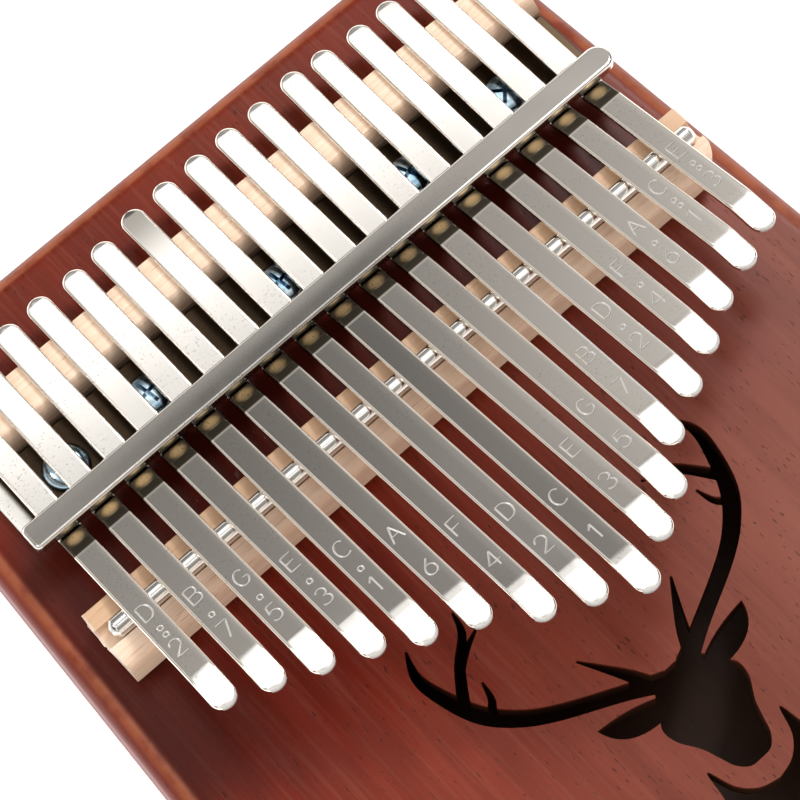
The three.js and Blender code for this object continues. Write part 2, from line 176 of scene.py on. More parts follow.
def loft(name, loops):
    """A skin through loops of points, all with the same count, closed at both ends."""
    count = len(loops[0])
    points = [p for loop in loops for p in loop]
    faces = []
    for level in range(len(loops) - 1):
        for i in range(count):
            a, b = level * count + i, level * count + (i + 1) % count
            faces.append((a, b, b + count, a + count))
    faces.append(tuple(range(count))[::-1])
    faces.append(tuple((len(loops) - 1) * count + i for i in range(count)))
    return make_mesh(name, points, faces)


def arc(cx, cy, radius, start, end, steps):
    """Points on a circle, with the angles in radians."""
    return [(cx + radius * math.cos(start + (end - start) * i / steps),
             cy + radius * math.sin(start + (end - start) * i / steps)) for i in range(steps + 1)]


# ---- box ----------------------------------------------------------------------------------------------------------
CORNER_STEPS, EDGE_STEPS, CURVE_STEPS, EAR_STEPS = 20, 10, 6, 10
HOLE_BEVEL = 0.22
LEAST_LIMB = 0.3  # the width of an antler's tip


def box_outline(inset):
    """The box seen from above, each corner rounded about a centre that stays in place as the inset grows."""
    outline = []
    count = len(BOX_CORNERS)
    for i, (x, y, radius) in enumerate(BOX_CORNERS):
        before, after = BOX_CORNERS[i - 1], BOX_CORNERS[(i + 1) % count]
        arriving = math.atan2(y - before[1], x - before[0])
        turn = (math.atan2(after[1] - y, after[0] - x) - arriving) % (2 * math.pi)
        reach = radius / math.cos(turn / 2)
        inward = arriving + turn / 2 + math.pi / 2
        centre = (x + reach * math.cos(inward), y + reach * math.sin(inward))
        start = arriving - math.pi / 2
        outline += arc(*centre, radius - inset, start, start + turn, CORNER_STEPS)
    return outline


def quadratic(a, b, c, steps):
    """A Bezier curve from a to c, drawn towards b."""
    points = []
    for i in range(steps + 1):
        t = i / steps
        points.append(tuple((1 - t) ** 2 * a[k] + 2 * t * (1 - t) * b[k] + t * t * c[k] for k in (0, 1)))
    return points


def spline(points, steps):
    """A Catmull-Rom curve through points."""
    curve = []
    last = len(points) - 1
    for i in range(last):
        p0, p1, p2, p3 = points[max(i - 1, 0)], points[i], points[i + 1], points[min(i + 2, last)]
        for s in range(steps):
            t = s / steps
            curve.append(tuple(0.5 * (2 * p1[k] + (p2[k] - p0[k]) * t
                                      + (2 * p0[k] - 5 * p1[k] + 4 * p2[k] - p3[k]) * t ** 2
                                      + (3 * p1[k] - p0[k] - 3 * p2[k] + p3[k]) * t ** 3) for k in range(len(p1))))
    return curve + [tuple(points[last])]


def limb(points):
    """The outline of a tapering limb; each point is x, y and the width there."""
    line = spline(points, CURVE_STEPS)
    left, right = [], []
    for i, (x, y, width) in enumerate(line):
        before, after = line[max(i - 1, 0)], line[min(i + 1, len(line) - 1)]
        along = Vector((after[0] - before[0], after[1] - before[1])).normalized()
        half = max(width, LEAST_LIMB) / 2
        left.append((x - along.y * half, y + along.x * half))
        right.append((x + along.y * half, y - along.x * half))
    return right + left[::-1]


ANTLER_LIMBS = [[(2, -28.8, 3.4), (7.7, -25.9, 2.6), (17.2, -21.2, 2.6), (22.2, -17.6, 2.8), (25.6, -13.4, 2.9),
                 (27.8, -7.5, 2.4), (28.4, -3.2, 1.7), (26.9, 0.8, 0.4)],
                [(26.4, -11.6, 2), (22.6, -6.4, 1.7), (18.9, -2.8, 1.3), (17.8, 0.6, 0.4)],
                [(23.6, -7.6, 1.2), (20.2, -5.2, 1.1), (16.8, -3.7, 0.4)],
                [(24.6, -15.4, 1.6), (22.6, -13.4, 1.2), (21.8, -10.4, 0.4)],
                [(3.6, -28.4, 2.6), (5.4, -24.4, 2), (9.6, -17.6, 0.4)]]
EAR_UPPER, EAR_LOWER = [(4.6, -29.7), (9, -27.7), (14.6, -27.4)], [(14.6, -27.4), (13.4, -32.8), (6, -32.8)]
SKULL_HALF = [(0, -27.4), (3.2, -27.7), (5, -29.6), (6, -31.6), (7.6, -33.7), (7.3, -36.4), (5.4, -39.6), (4.4, -42.4),
              (3.6, -44.6), (2, -46.2), (0, -46.4)]
NECK_HALF = [(0, -50.2), (3.2, -49.3), (5.7, -46.8), (7.3, -42.6), (8.3, -47.6), (10.6, -53), (15.4, -58.4),
             (8.4, -62.4), (0, -69.5)]


def prism(name, outline, low, high):
    return loft(name, [[(x, y, low) for x, y in outline], [(x, y, high) for x, y in outline]])


def stag_outlines():
    """The sound hole's parts: skull and neck, mirrored halves joined, then ears and antler limbs in mirrored pairs."""
    outlines = []
    for half in (SKULL_HALF, NECK_HALF):
        right = spline(half, CURVE_STEPS)[1:-1]
        outlines.append([half[0]] + right + [half[-1]] + [(-x, y) for x, y in right][::-1])
    ear = quadratic(*EAR_UPPER, EAR_STEPS) + quadratic(*EAR_LOWER, EAR_STEPS)[1:]
    for outline in [ear] + [limb(points) for points in ANTLER_LIMBS]:
        outlines += [outline, [(-x, y) for x, y in outline]]
    return outlines


def bevel_hole_edges(piece):
    """Softens the arrises of the sound hole where they meet the soundboard's face."""
    bm = bmesh.new()
    bm.from_mesh(piece.data)
    edges = []
    for edge in bm.edges:
        heights = [abs(v.co.z / MM - DECK) for v in edge.verts]
        normals = sorted(abs(face.normal.z) for face in edge.link_faces)
        if max(heights) < 0.01 and len(normals) == 2 and normals[0] < 0.3 and normals[1] > 0.9:
            edges.append(edge)
    bmesh.ops.bevel(bm, geom=edges, offset=HOLE_BEVEL * MM, segments=3, profile=0.5, affect="EDGES",
                    clamp_overlap=True)
    bm.to_mesh(piece.data)
    bm.free()


def make_box(material):
    loops = []
    for i in range(EDGE_STEPS + 1):
        angle = math.pi / 2 * i / EDGE_STEPS
        inset = EDGE_RADIUS * (1 - math.sin(angle))
        loops.append([(x, y, EDGE_RADIUS * (1 - math.cos(angle))) for x, y in box_outline(inset)])
    for i in range(EDGE_STEPS + 1):
        angle = math.pi / 2 * i / EDGE_STEPS
        inset = EDGE_RADIUS * (1 - math.cos(angle))
        height = DECK - EDGE_RADIUS + EDGE_RADIUS * math.sin(angle)
        loops.append([(x, y, height) for x, y in box_outline(inset)])
    box = loft("resonator_box", loops)
    hollow = loft("hollow", [[(x, y, z) for x, y in box_outline(WALL)] for z in (BOARD, DECK - BOARD)])
    cut(box, hollow)
    stag, *others = [prism(f"stag_{i}", outline, DECK - BOARD - 1, DECK + 1)
                     for i, outline in enumerate(stag_outlines())]
    for part in others:
        cut(stag, part, "UNION")
    cut(box, stag)
    bevel_hole_edges(box)
    shade(box, 40)
    dress(box, material, "box", "body_wood", "soundboard", "side_rim", "back_panel")


# ---- tines: "ahead" is the distance towards the player from the bar's rear edge ------------------------------------
SOFTENING, TIP_SOFTENING = (0.5, 5), (1.3, 13)  # reach of a bend's radius and the number of samples
STATION_STEP, FINE_STEP, FINE_WITHIN = 1.2, 0.2, 1.9
CAP_STEPS = 10
TINE_LEVELS = [(0.5, 0.0), (0.33, -0.03), (0.19, -0.1), (0.08, -0.21), (0.02, -0.34), (0, -0.48), (0, -0.8),
               (0.1, -0.95), (0.25, -1.0)]  # inset, height


def tine_line(ahead, tip_ahead):
    """The top face's height above the deck with sharp bends: tail, pressed step, rise to the front, tip."""
    step_top = REAR_TOP + REAR_FALL * STEP_START
    if ahead <= STEP_START:
        return REAR_TOP + REAR_FALL * ahead
    if ahead <= CREST_AHEAD:
        return step_top + (CREST_TOP - step_top) * (ahead - STEP_START) / (CREST_AHEAD - STEP_START)
    bend = tip_ahead - TIP_LENGTH
    return CREST_TOP + FRONT_RISE * (min(ahead, bend) - CREST_AHEAD) + TIP_RISE * max(ahead - bend, 0)


def tine_top(ahead, tip_ahead):
    """The top face's height above the deck, with every bend pressed to a radius, larger at the tip."""
    near_tip = ahead > (CREST_AHEAD + tip_ahead) / 2
    soften, samples = TIP_SOFTENING if near_tip else SOFTENING
    total = 0
    for i in range(samples):
        total += tine_line(ahead + soften * (2 * i / (samples - 1) - 1), tip_ahead)
    return total / samples


def tine_stations(back, tip):
    """Distances ahead for the rings between the two round ends, closer together near a bend."""
    half = TINE_WIDTH / 2
    bends = (STEP_START, CREST_AHEAD, tip - TIP_LENGTH)
    stations = []
    ahead = -back + half
    while ahead < tip - half:
        stations.append(ahead)
        near = min(abs(ahead - bend) for bend in bends)
        ahead += FINE_STEP if near < FINE_WITHIN else STATION_STEP
    stations.append(tip - half)
    return stations


def tine_piece(note):
    """One tine as layers of points from the top face down, and the matrix that puts it in place."""
    back, tip, half = REACH_BACK[note - 1], REACH_FRONT[note - 1], TINE_WIDTH / 2
    straight = tine_stations(back, tip)
    place = Matrix.Translation((SET_X + PITCH * (note - 9) + SHIFT_X[note - 1], BAR_REAR_Y, DECK))
    place = place @ Matrix.Rotation(math.radians(SKEW_DEG[note - 1]), 4, "Z")
    points, faces = [], []
    row = 2 * (len(straight) + 2 * CAP_STEPS - 2) + 2
    for inset, drop in TINE_LEVELS:
        radius = half - inset
        pairs = []
        for i in range(1, CAP_STEPS):
            angle = math.pi / 2 * i / CAP_STEPS
            pairs.append((-back + half - radius * math.cos(angle), radius * math.sin(angle)))
        pairs += [(ahead, radius) for ahead in straight]
        for i in range(CAP_STEPS - 1, 0, -1):
            angle = math.pi / 2 * i / CAP_STEPS
            pairs.append((tip - half + radius * math.cos(angle), radius * math.sin(angle)))
        line = [(-back + half - radius, 0)] + [(a, s * w) for a, w in pairs for s in (-1, 1)]
        line.append((tip - half + radius, 0))
        points += [place @ Vector((x, -ahead, tine_top(ahead, tip) + drop)) for ahead, x in line]
    pair_count = (row - 2) // 2
    for level, base in enumerate(range(0, row * len(TINE_LEVELS), row)):
        flat = level in (0, len(TINE_LEVELS) - 1)
        last = base + row - 1
        if flat:
            faces.append((base, base + 1, base + 2))
            faces.append((last, last - 2, last - 1))
            for i in range(pair_count - 1):
                a = base + 1 + 2 * i
                faces.append((a, a + 1, a + 3, a + 2))
        if level == len(TINE_LEVELS) - 1:
            continue
        for side in (1, 2):
            chain = [base] + [base + side + 2 * i for i in range(pair_count)] + [last]
            for a, b in zip(chain, chain[1:]):
                faces.append((a, b, b + row, a + row))
    return make_mesh(f"tine_{note:02d}", points, faces), place


# ---- engraved marks: strokes in a unit square, x to the right and y up ----------------------------------------------
def bow(cx, cy, rx, ry, start, end, steps=10):
    """Points on an ellipse, with the angles in degrees."""
    return [(cx + rx * math.cos(math.radians(start + (end - start) * i / steps)),
             cy + ry * math.sin(math.radians(start + (end - start) * i / steps))) for i in range(steps + 1)]


GLYPHS = {
    "A": [[(0, 0), (0.5, 1), (1, 0)], [(0.2, 0.36), (0.8, 0.36)]],
    "B": [[(0.05, 0), (0.05, 1), (0.55, 1)] + bow(0.55, 0.76, 0.35, 0.24, 90, -90)[1:] + [(0.05, 0.52)],
          [(0.55, 0.52)] + bow(0.58, 0.26, 0.4, 0.26, 90, -90)[1:] + [(0.05, 0)]],
    "C": [bow(0.55, 0.5, 0.52, 0.5, 48, 312, 18)],
    "D": [[(0.05, 0), (0.05, 1), (0.4, 1)] + bow(0.4, 0.5, 0.58, 0.5, 90, -90, 14)[1:] + [(0.05, 0)]],
    "E": [[(0.95, 1), (0.08, 1), (0.08, 0), (0.95, 0)], [(0.08, 0.52), (0.82, 0.52)]],
    "F": [[(0.95, 1), (0.08, 1), (0.08, 0)], [(0.08, 0.5), (0.8, 0.5)]],
    "G": [bow(0.52, 0.5, 0.5, 0.5, 50, 345, 18), [(1.0, 0.38), (1.0, 0.46), (0.58, 0.46)]],
    "1": [[(0.2, 0.72), (0.55, 1), (0.55, 0)]],
    "2": [bow(0.48, 0.7, 0.42, 0.3, 170, -30, 12) + [(0.06, 0), (0.96, 0)]],
    "3": [bow(0.45, 0.76, 0.38, 0.24, 155, -90, 12), bow(0.45, 0.26, 0.44, 0.26, 90, -155, 12)],
    "4": [[(0.7, 0), (0.7, 1), (0.02, 0.3), (0.98, 0.3)]],
    "5": [[(0.88, 1), (0.22, 1), (0.12, 0.54)] + bow(0.46, 0.32, 0.44, 0.32, 130, -150, 14)],
    "6": [[(0.72, 1), (0.2, 0.56)] + bow(0.5, 0.32, 0.42, 0.32, 145, -215, 18)],
    "7": [[(0.05, 1), (0.95, 1), (0.4, 0)]],
    "o": [bow(0.5, 0.5, 0.5, 0.5, 0, 360, 12)],
}
GLYPH_HEIGHT, GLYPH_WIDTH, DOT_SIZE = 2.9, 2.15, 0.85
LETTER_FROM_TIP, NUMBER_FROM_TIP = 20.4, 12.5
DOTS_FROM_TIP = {" ": [], ".": [15.9], ":": [16.7, 15.3]}
GROOVE_RADIUS, GROOVE_LIFT, GROOVE_SIDES = 0.175, 0.035, 8
LEAST_LEFT, MOST_LEFT = 0.985, 0.99999  # share of a tine's volume that one stroke leaves
SHARP_CORNER, HALF_TURN = math.radians(40), math.radians(170)


def groove_tube(line):
    """A round cutter along a line of points, bent where the line bends."""
    loops = []
    for i, point in enumerate(line):
        before, after = line[max(i - 1, 0)], line[min(i + 1, len(line) - 1)]
        along = (after - before).normalized()
        side = along.cross(Vector((0, 0, 1))).normalized()
        over = side.cross(along)
        loop = []
        for k in range(GROOVE_SIDES):
            turn = 2 * math.pi * k / GROOVE_SIDES
            loop.append(point + (side * math.cos(turn) + over * math.sin(turn)) * GROOVE_RADIUS)
        loops.append(loop)
    return loft("groove", loops)


def simple_strokes(line):
    """Splits a stroke at its sharp corners and after every half turn, so that no groove meets itself."""
    strokes, current, turned = [], [line[0]], 0
    for a, b, c in zip(line, line[1:], line[2:]):
        current.append(b)
        corner = (Vector(b) - Vector(a)).angle(Vector(c) - Vector(b), 0)
        turned += corner
        if corner > SHARP_CORNER or turned > HALF_TURN:
            strokes.append(current)
            current, turned = [b], 0
    current.append(line[-1])
    return strokes + [current]


def engrave(tine, place, note):
    tip = REACH_FRONT[note - 1]
    letter, dots, number = MARKS[note - 1]
    marks = [(letter, GLYPH_WIDTH, GLYPH_HEIGHT, LETTER_FROM_TIP),
             (number, GLYPH_WIDTH, GLYPH_HEIGHT, NUMBER_FROM_TIP)]
    marks += [("o", DOT_SIZE, DOT_SIZE, distance) for distance in DOTS_FROM_TIP[dots]]
    for glyph, width, height, distance in marks:
        for stroke in GLYPHS[glyph]:
            flat = [((x - 0.5) * width, tip - distance - (y - 0.5) * height) for x, y in stroke]
            for part in simple_strokes(flat):
                line = [place @ Vector((x, -ahead, tine_top(ahead, tip) + GROOVE_LIFT)) for x, ahead in part]
                cut(tine, groove_tube(line), least=LEAST_LEFT, most=MOST_LEFT)


def make_tines(material):
    for note in range(1, len(REACH_FRONT) + 1):
        tine, place = tine_piece(note)
        engrave(tine, place, note)
        shade(tine, 30)
        body = f"tine_{note:02d}"
        dress(tine, material, None, "tine_steel", body + "_tail", body + "_tongue")
        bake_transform(tine)


# ---- fittings -----------------------------------------------------------------------------------------------------
BAR_TILT = 0.24  # how much the bar's top face falls per millimetre towards the rear
BAR_CORNERS = (1.2, 2.4)  # radii at the left and right ends, seen from above
BAR_FILLET, FILLET_STEPS = 0.7, 7
ROD_NOSE = [(0, 0.9), (0.12, 1.08), (0.7, 1.66), (0.95, ROD_RADIUS)]  # distance from an end, radius
GROOVE_CLEARANCE = 0.12
BRIDGE_SAWN = 0.8  # the length of the rough left end
BRIDGE_END, BRIDGE_ROUND, BRIDGE_PULL = 5, 4.4, 3.2  # right end: close rings, where it rounds off and how far
REST_SLOPE, REST_DROP, REST_CURVE, REST_STEPS = 2.4, 2.6, 1.6, 6
RECESS = [(SCREW_HEIGHT + 1, 2.6, 0.75), (SCREW_HEIGHT - 0.4, 2.1, 0.62), (0.55, 0.9, 0.4)]  # height, reach, width


def make_bar(material):
    half = BAR_DEPTH / 2
    middle_y = BAR_REAR_Y - BAR_FRONT + half
    left, right = BAR_ENDS

    def plan(inset):
        points = []
        ends = [(right, -1, BAR_CORNERS[1])] * 2 + [(left, 1, BAR_CORNERS[0])] * 2
        for i, (end, toward, radius) in enumerate(ends):
            y = middle_y + (half - radius) * (1 if i in (1, 2) else -1)
            start = math.radians(90 * i - 90)
            points += arc(end + toward * radius, y, radius - inset, start, start + math.pi / 2, 8)
        return points

    levels = [(0.3, BAR_UNDERSIDE), (0.08, BAR_UNDERSIDE + 0.1), (0, BAR_UNDERSIDE + 0.35)]
    for i in range(FILLET_STEPS + 1):
        angle = math.pi / 2 * i / FILLET_STEPS
        levels.append((BAR_FILLET * (1 - math.cos(angle)), BAR_TOP - BAR_FILLET * (1 - math.sin(angle))))
    loops = []
    for inset, height in levels:
        lean = BAR_TILT if height > BAR_UNDERSIDE + 1 else 0
        loops.append([(x, y, DECK + height - lean * (y - middle_y + half)) for x, y in plan(inset)])
    bar = loft("pressure_bar_piece", loops)
    shade(bar, 35)
    dress(bar, material, "box", "bar_steel", "pressure_bar")


def make_rod(material):
    left, right = ROD_ENDS
    y, z = BAR_REAR_Y - ROD_AHEAD, DECK + ROD_HEIGHT
    stations = [(left + inward, radius) for inward, radius in ROD_NOSE]
    stations += [(right - inward, radius) for inward, radius in ROD_NOSE[::-1]]
    loops = [[(x, y + dy, z + dz) for dy, dz in arc(0, 0, radius, 0, 2 * math.pi, 40)[:-1]] for x, radius in stations]
    rod = loft("bridge_rod_piece", loops)
    shade(rod, 25)
    dress(rod, material, "box", "rod_steel", "bridge_rod")


def make_bridge(material):
    """A wooden bar with a rounded front arris, a groove for the rod, a rough-sawn left end and a rounded right end."""
    left, right = BRIDGE_ENDS
    front, rear = BAR_REAR_Y - BRIDGE_FRONT, BAR_REAR_Y - BRIDGE_REAR
    low, high = DECK + GAP, DECK + BRIDGE_HEIGHT
    rod_y, rod_z = BAR_REAR_Y - ROD_AHEAD, DECK + ROD_HEIGHT
    groove = ROD_RADIUS + GROOVE_CLEARANCE
    reach = math.asin((high - rod_z) / groove)
    section = [(front, low)] + [(front, low + (high - BRIDGE_NOSE - low) * i / 4) for i in (1, 2, 3)]
    section += arc(front + BRIDGE_NOSE, high - BRIDGE_NOSE, BRIDGE_NOSE, math.pi, math.pi / 2, 8)
    section += arc(rod_y, rod_z, groove, math.pi - reach, 2 * math.pi + reach, 14)
    section += [(rear - 0.5, high), (rear - 0.14, high - 0.14), (rear, high - 0.5)]
    section += [(rear, low + (high - 0.5 - low) * i / 4) for i in (3, 2, 1, 0)]
    stations = [left, left + 0.25, left + BRIDGE_SAWN]
    stations += [left + BRIDGE_SAWN + (right - BRIDGE_END - left - BRIDGE_SAWN) * i / 40 for i in range(1, 41)]
    stations += [right - BRIDGE_END + BRIDGE_END * math.sin(math.pi / 2 * i / 9) for i in range(1, 10)]
    loops = []
    for x in stations:
        sawn = max(0, 1 - (x - left) / BRIDGE_SAWN)
        near_right = max(0, (x - (right - BRIDGE_ROUND)) / BRIDGE_ROUND)
        pull = BRIDGE_PULL * (1 - math.sqrt(max(0, 1 - near_right ** 2)))
        loop = []
        for y, z in section:
            rough = sawn * random.uniform(-0.22, 0.16)
            share = max(0, (rod_y - y) / (rod_y - front))
            belly = sawn * 0.35 * (1 - ((y - (front + rear) / 2) / (rear - front) * 2) ** 2)
            loop.append((x + rough - belly + 0.35 * sawn, y + pull * share ** 2 + sawn * random.uniform(0, 0.08), z))
        loops.append(loop)
    bridge = loft("front_bridge_piece", loops)
    shade(bridge, 40)
    dress(bridge, material, "box", "bridge_wood", "front_bridge")


def make_rest(material):
    """The rear strip: flat on top, then a slope down to the plate, with faint steps left by the saw."""
    rear, front = BAR_REAR_Y + REST_REAR, BAR_REAR_Y + REST_FRONT
    low, high = DECK + GAP, DECK + REST_HEIGHT
    section = [(rear, low), (rear, high - 0.35), (rear - 0.1, high - 0.1), (rear - 0.35, high)]
    section += [(front + REST_SLOPE, high)]
    for i in range(1, REST_STEPS + 1):
        y = front + REST_SLOPE * (1 - i / REST_STEPS)
        z = high - REST_DROP * (i / REST_STEPS) ** REST_CURVE
        section += [(y + 0.1, z + 0.1), (y, z)]
    section += [(front, low)]
    loops = []
    for i in range(61):
        x = SET_X - REST_HALF + 2 * REST_HALF * i / 60
        loops.append([(x, y + random.uniform(-0.03, 0.03), z + random.uniform(-0.02, 0.02) * (z > low))
                      for y, z in section])
    rest = loft("rear_rest_piece", loops)
    shade(rest, 40)
    dress(rest, material, "box", "rest_wood", "rear_rest")


def make_plate(material):
    left, right = SET_X - PLATE_HALF, SET_X + PLATE_HALF
    front, rear = BAR_REAR_Y + PLATE_FRONT, BAR_REAR_Y + PLATE_REAR
    low, high = DECK + GAP, DECK + GAP + PLATE_THICK

    def plan(inset):
        return [(left + inset, front + inset), (right - inset, front + inset), (right - inset, rear - inset),
                (left + inset, rear - inset)]

    loops = [[(x, y, z) for x, y in plan(inset)]
             for inset, z in [(0, low), (0, high - 0.2), (0.06, high - 0.06), (0.2, high)]]
    plate = loft("base_plate_piece", loops)
    modifier = plate.modifiers.new("corners", "BEVEL")
    modifier.width, modifier.segments, modifier.angle_limit = 0.15 * MM, 2, math.radians(60)
    bake_modifiers(plate)
    shade(plate, 35)
    dress(plate, material, "box", "plate_steel", "base_plate")


def make_screw(index, material):
    """A domed head on a shank, with a cross recess that narrows as it goes down."""
    x, y = SET_X + SCREW_X[index], BAR_REAR_Y + SCREW_BEHIND
    seat = DECK + GAP + PLATE_THICK + GAP
    profile = [(SCREW_SHANK, seat - SCREW_SHANK_LENGTH), (SCREW_SHANK, seat), (SCREW_RADIUS - 0.15, seat),
               (SCREW_RADIUS, seat + SCREW_RIM)]
    for i in range(1, 12):
        angle = math.pi / 2 * i / 12
        rise = SCREW_RIM + (SCREW_HEIGHT - SCREW_RIM) * math.sin(angle)
        profile.append((SCREW_RADIUS * math.cos(angle) ** 0.75, seat + rise))
    profile.append((0.05, seat + SCREW_HEIGHT))
    loops = [[(x + dx, y + dy, z) for dx, dy in arc(0, 0, radius, 0, 2 * math.pi, 48)[:-1]] for radius, z in profile]
    screw = loft(f"screw_{index + 1}", loops)
    turn = random.uniform(0, math.pi / 2)
    for quarter in (0, math.pi / 2):
        wings = []
        for height, reach, width in RECESS:
            loop = []
            for sx, sy in [(-1, -1), (1, -1), (1, 1), (-1, 1)]:
                u, v = sx * reach, sy * width / 2
                c, s = math.cos(turn + quarter), math.sin(turn + quarter)
                loop.append((x + u * c - v * s, y + u * s + v * c, seat + height))
            wings.append(loop)
        cut(screw, loft("recess", wings))
    shade(screw, 35)
    dress(screw, material, "box", "screw_zinc", f"base_screw_{index + 1}")


# ---- materials ----------------------------------------------------------------------------------------------------
class Nodes:
    """A short way to write a material's nodes."""

    def __init__(self, name):
        self.material = bpy.data.materials.new(name)
        self.material.use_nodes = True
        self.tree = self.material.node_tree
        self.shader = self.tree.nodes["Principled BSDF"]
        where = self.tree.nodes.new("ShaderNodeTexCoord").outputs
        self.coords, self.normal = where["Object"], where["Normal"]

    def add(self, kind, inputs=None, **settings):
        node = self.tree.nodes.new(kind)
        for key, value in settings.items():
            setattr(node, key, value)
        for key, value in (inputs or {}).items():
            self.put(node, key, value)
        return node

    def put(self, node, key, value):
        if isinstance(value, bpy.types.NodeSocket):
            self.tree.links.new(value, node.inputs[key])
        else:
            node.inputs[key].default_value = value

    def stretched(self, scale):
        return self.add("ShaderNodeMapping", {"Vector": self.coords, "Scale": scale}).outputs[0]

    def noise(self, vector, scale=1.0, detail=4.0, rough=0.55, distortion=0.0):
        return self.add("ShaderNodeTexNoise", {"Vector": vector, "Scale": scale, "Detail": detail, "Roughness": rough,
                                               "Distortion": distortion}).outputs["Fac"]

    def ramp(self, value, low, high, to_low=0.0, to_high=1.0):
        """A smooth step from to_low, where the value is low, to to_high."""
        return self.add("ShaderNodeMapRange", {"Value": value, "From Min": low, "From Max": high, "To Min": to_low,
                                               "To Max": to_high}, interpolation_type="SMOOTHSTEP").outputs["Result"]

    def math(self, operation, a, b=0.0):
        return self.add("ShaderNodeMath", {0: a, 1: b}, operation=operation).outputs[0]

    def absolute(self, value):
        return self.math("ABSOLUTE", value)

    def product(self, first, *others):
        for factor in others:
            first = self.math("MULTIPLY", first, factor)
        return first

    def grey(self, level):
        return self.add("ShaderNodeCombineColor", {0: level, 1: level, 2: level}).outputs[0]

    def mix(self, factor, a, b, blend="MIX"):
        node = self.add("ShaderNodeMix", data_type="RGBA", blend_type=blend)
        for socket, value in zip((0, 6, 7), (factor, a, b)):
            if isinstance(value, tuple):
                value = (*value, 1.0)
            self.put(node, socket, value)
        return node.outputs[2]

    def levels(self, value, stops):
        """Greys along a scale of 0 to 1, as a plain value."""
        ramp = self.add("ShaderNodeValToRGB", {0: value})
        elements = ramp.color_ramp.elements
        while len(elements) < len(stops):
            elements.new(0.5)
        for element, (at, level) in zip(elements, stops):
            element.position, element.color = at, (level, level, level, 1)
        return ramp.outputs["Color"]

    def bump(self, height, strength, distance):
        """A normal for a height in units of distance, which is in millimetres."""
        inputs = {"Height": height, "Strength": strength, "Distance": distance * MM}
        return self.add("ShaderNodeBump", inputs).outputs[0]

    def split(self, vector):
        return self.add("ShaderNodeSeparateXYZ", {0: vector}).outputs

    def finish(self, **inputs):
        for key, value in inputs.items():
            key = key.replace("_", " ")
            if isinstance(value, tuple):
                value = (*value, 1.0)
            self.put(self.shader, key, value)
        return self.material


INNER_SIDES, INNER_ENDS = (0.0590, 0.0580), (0.0880, 0.0870)  # half widths in metres where the mask is 0 and 1
INNER_CORNERS = [(0.855, 0.519, 78.6), (0.49, 0.872, 89.0)]  # planes within the walls of the front corners
DEEP_RED = (0.165, 0.0115, 0.0035), (0.235, 0.023, 0.007)
# The pale pair below is a painted sheen on the lacquer.
PAINTED_SHEEN_RED = (0.19, 0.058, 0.037), (0.26, 0.093, 0.063)
BAND_BROWN, REAR_BROWN, FINE_TAN = (0.10, 0.018, 0.009), (0.08, 0.02, 0.01), (0.26, 0.075, 0.045)
# The edge colour below is worn lacquer on the box's edges and a painted highlight on the sound hole's rims.
PORE_DARK, EDGE_WEAR_AND_HIGHLIGHT = (0.03, 0.006, 0.004), (0.34, 0.10, 0.045)
# The second colour below is painted shade inside the box.
SHADE_RED, INSIDE_SHADE = (0.035, 0.004, 0.002), (0.022, 0.013, 0.006)
STRAW = (0.84, 0.60, 0.43), (0.94, 0.75, 0.59)
STRAW_STREAK, STRAW_PORE = (0.74, 0.48, 0.33), (0.32, 0.15, 0.08)
REST_DARK, BRIDGE_DARK, BRIDGE_CUT = (0.10, 0.045, 0.022), (0.50, 0.27, 0.12), (0.80, 0.68, 0.58)


def inside_mask(n):
    """1 inside the box, where the wood is painted dark as shade, 0 on its lacquered outside."""
    x, y, z = n.split(n.coords)
    mask = n.product(n.ramp(n.absolute(x), *INNER_SIDES), n.ramp(n.absolute(y), *INNER_ENDS),
                     n.ramp(z, (DECK - 0.3) * MM, (DECK - 1.2) * MM), n.ramp(z, (BOARD - 2) * MM, (BOARD - 1) * MM))
    for side, front, reach in INNER_CORNERS:
        out = n.math("ADD", n.math("MULTIPLY", n.absolute(x), side), n.math("MULTIPLY", y, -front))
        mask = n.product(mask, n.ramp(out, reach * MM, (reach - 1) * MM))
    return mask


def shaded_mask(n, x, y, upness):
    """Painted shade on the board: a painted shadow left of the bridge, and painted shade between the bridge and the
    bar.
    """
    left = n.product(n.ramp(x, -0.040, -0.056), n.ramp(y, -0.012, 0.012), n.ramp(y, 0.070, 0.048))
    bridge_rear, bar_rear = (BAR_REAR_Y - BRIDGE_REAR) * MM, BAR_REAR_Y * MM
    gap = n.product(n.ramp(y, bridge_rear - 0.5 * MM, bridge_rear + 1.5 * MM), n.ramp(y, bar_rear, bar_rear - 3 * MM),
                    n.ramp(n.absolute(x), 0.061, 0.054))
    return n.product(n.math("MAXIMUM", left, gap), n.ramp(upness, 0.9, 0.99))


